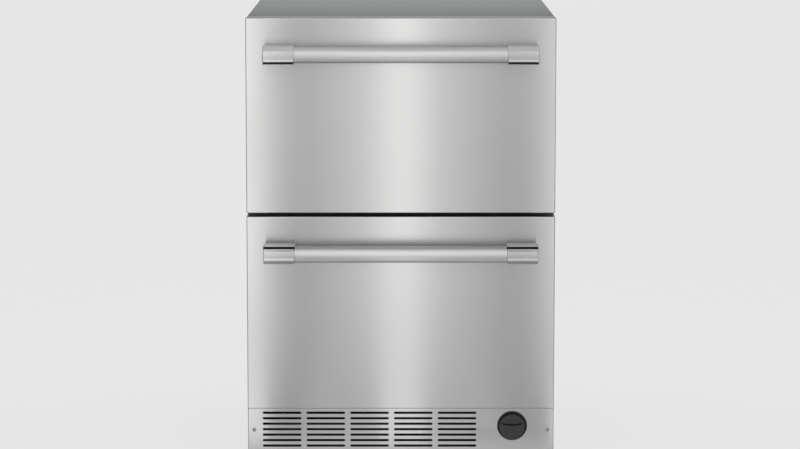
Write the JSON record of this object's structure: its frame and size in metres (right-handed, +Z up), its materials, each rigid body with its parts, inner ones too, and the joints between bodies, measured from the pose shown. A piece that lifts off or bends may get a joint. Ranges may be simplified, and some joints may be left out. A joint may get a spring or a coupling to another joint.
{
  "type": "undercounter drawer refrigerator",
  "caption": "Undercounter refrigerator with stacked full-width stainless drawers, bar handles, a slotted base grille and a round water filter cap.",
  "frame": {"origin": "on the floor, under the middle of the box round the whole unit, handles included", "axes": "+X to the right seen from the front, +Y to the back, +Z up; the drawers open towards -Y"},
  "size_m": [0.606, 0.672, 0.876],
  "materials": {
    "grey_paint": "satin powder coat",
    "dark_paint": "satin dark paint",
    "galvanised": "galvanised sheet",
    "stainless": "brushed stainless",
    "polished_zinc": "polished casting",
    "foam": null,
    "liner_white": "glossy moulded liner",
    "bin_plastic": "satin moulded bin",
    "tub_plastic": "translucent tub",
    "black_plastic": "satin black moulding",
    "blade_plastic": "satin moulding",
    "gasket": "soft vinyl",
    "rubber": "black rubber",
    "copper": "drawn copper",
    "fins": "thin fins",
    "cast_aluminium": "coated casting",
    "lens": "frosted lens",
    "valve_plastic": "moulded valve body",
    "filter_plastic": "moulded housing"
  },
  "bodies": {
    "cabinet": {"cabinet_shell": "grey_paint", "back_panel": "galvanised", "rear_cover": "galvanised", "base_pan": "dark_paint", "deck_panel": "galvanised", "insulation_foam": "foam", "upper_liner": "liner_white", "lower_liner": "liner_white", "mullion": "dark_paint", "control_panel": "black_plastic", "light_lenses": "lens", "slide_rails": "galvanised", "evaporator": "fins", "evaporator_cover": "liner_white", "evaporator_fan_motor": "blade_plastic", "compressor": "dark_paint", "compressor_grommets": "rubber", "condenser": "fins", "condenser_fan_shroud": "blade_plastic", "refrigerant_lines": "copper", "drain_pan": "black_plastic", "electrical_box": "dark_paint", "toe_grille": "stainless", "grille_screws": "polished_zinc", "filter_housing": "black_plastic", "water_valve": "valve_plastic", "power_inlet": "black_plastic", "ice_mould": "cast_aluminium", "ice_maker_housing": "liner_white"},
    "upper_drawer": {"upper_skin": "stainless", "upper_core": "foam", "upper_inner_liner": "liner_white", "upper_gasket": "gasket", "upper_handle_bar": "stainless", "upper_handle_brackets": "polished_zinc", "upper_frame": "galvanised", "upper_bin": "bin_plastic", "upper_runners": "galvanised"},
    "lower_drawer": {"lower_skin": "stainless", "lower_core": "foam", "lower_inner_liner": "liner_white", "lower_gasket": "gasket", "lower_handle_bar": "stainless", "lower_handle_brackets": "polished_zinc", "lower_frame": "galvanised", "lower_bin": "bin_plastic", "lower_runners": "galvanised", "ice_tub": "tub_plastic"},
    "upper_slides": {"upper_slide_members": "galvanised"},
    "lower_slides": {"lower_slide_members": "galvanised"},
    "filter_insert": {"filter_cartridge": "filter_plastic"},
    "filter_knob": {"filter_cap": "black_plastic"},
    "condenser_fan": {"condenser_fan_blades": "blade_plastic"},
    "evaporator_fan": {"evaporator_fan_blades": "blade_plastic"},
    "ejector": {"ice_ejector": "blade_plastic"},
    "shutoff_arm": {"ice_arm": "polished_zinc"},
    "front_left_foot": {"front_left_leg": "black_plastic"},
    "front_right_foot": {"front_right_leg": "black_plastic"},
    "rear_left_foot": {"rear_left_leg": "black_plastic"},
    "rear_right_foot": {"rear_right_leg": "black_plastic"}
  },
  "joints": [
    {"name": "upper_drawer_slide", "type": "slide", "parent": "cabinet", "child": "upper_drawer", "axis": [0, -1, 0], "range_m": [0, 0.43]},
    {"name": "upper_members_slide", "type": "slide", "parent": "cabinet", "child": "upper_slides", "axis": [0, -1, 0], "range_m": [0, 0.215]},
    {"name": "lower_drawer_slide", "type": "slide", "parent": "cabinet", "child": "lower_drawer", "axis": [0, -1, 0], "range_m": [0, 0.43]},
    {"name": "lower_members_slide", "type": "slide", "parent": "cabinet", "child": "lower_slides", "axis": [0, -1, 0], "range_m": [0, 0.215]},
    {"name": "filter_pull", "type": "slide", "parent": "cabinet", "child": "filter_insert", "axis": [0, -1, 0], "range_m": [0, 0.25]},
    {"name": "filter_cap_turn", "type": "hinge", "parent": "filter_insert", "child": "filter_knob", "pos_m": [0.2206, -0.271, 0.068], "axis": [0, 1, 0], "range_deg": [-90, 0]},
    {"name": "condenser_fan_spin", "type": "hinge", "parent": "cabinet", "child": "condenser_fan", "pos_m": [-0.17, 0.1842, 0.1132], "axis": [0, 1, 0], "continuous": true},
    {"name": "evaporator_fan_spin", "type": "hinge", "parent": "cabinet", "child": "evaporator_fan", "pos_m": [0, 0.2518, 0.41875], "axis": [0, 1, 0], "continuous": true},
    {"name": "ice_ejector_turn", "type": "hinge", "parent": "cabinet", "child": "ejector", "pos_m": [-0.2038, -0.093, 0.41015], "axis": [0, 1, 0], "continuous": true},
    {"name": "ice_arm_lift", "type": "hinge", "parent": "cabinet", "child": "shutoff_arm", "pos_m": [-0.1618, -0.093, 0.40215], "axis": [0, -1, 0], "range_deg": [0, 50]},
    {"name": "front_left_leg_screw", "type": "slide", "parent": "cabinet", "child": "front_left_foot", "axis": [0, 0, -1], "range_m": [0, 0.025]},
    {"name": "front_right_leg_screw", "type": "slide", "parent": "cabinet", "child": "front_right_foot", "axis": [0, 0, -1], "range_m": [0, 0.025]},
    {"name": "rear_left_leg_screw", "type": "slide", "parent": "cabinet", "child": "rear_left_foot", "axis": [0, 0, -1], "range_m": [0, 0.025]},
    {"name": "rear_right_leg_screw", "type": "slide", "parent": "cabinet", "child": "rear_right_foot", "axis": [0, 0, -1], "range_m": [0, 0.025]}
  ],
  "couplings": [
    {"joint": "upper_members_slide", "follows": "upper_drawer_slide", "ratio": 0.5},
    {"joint": "lower_members_slide", "follows": "lower_drawer_slide", "ratio": 0.5}
  ]
}
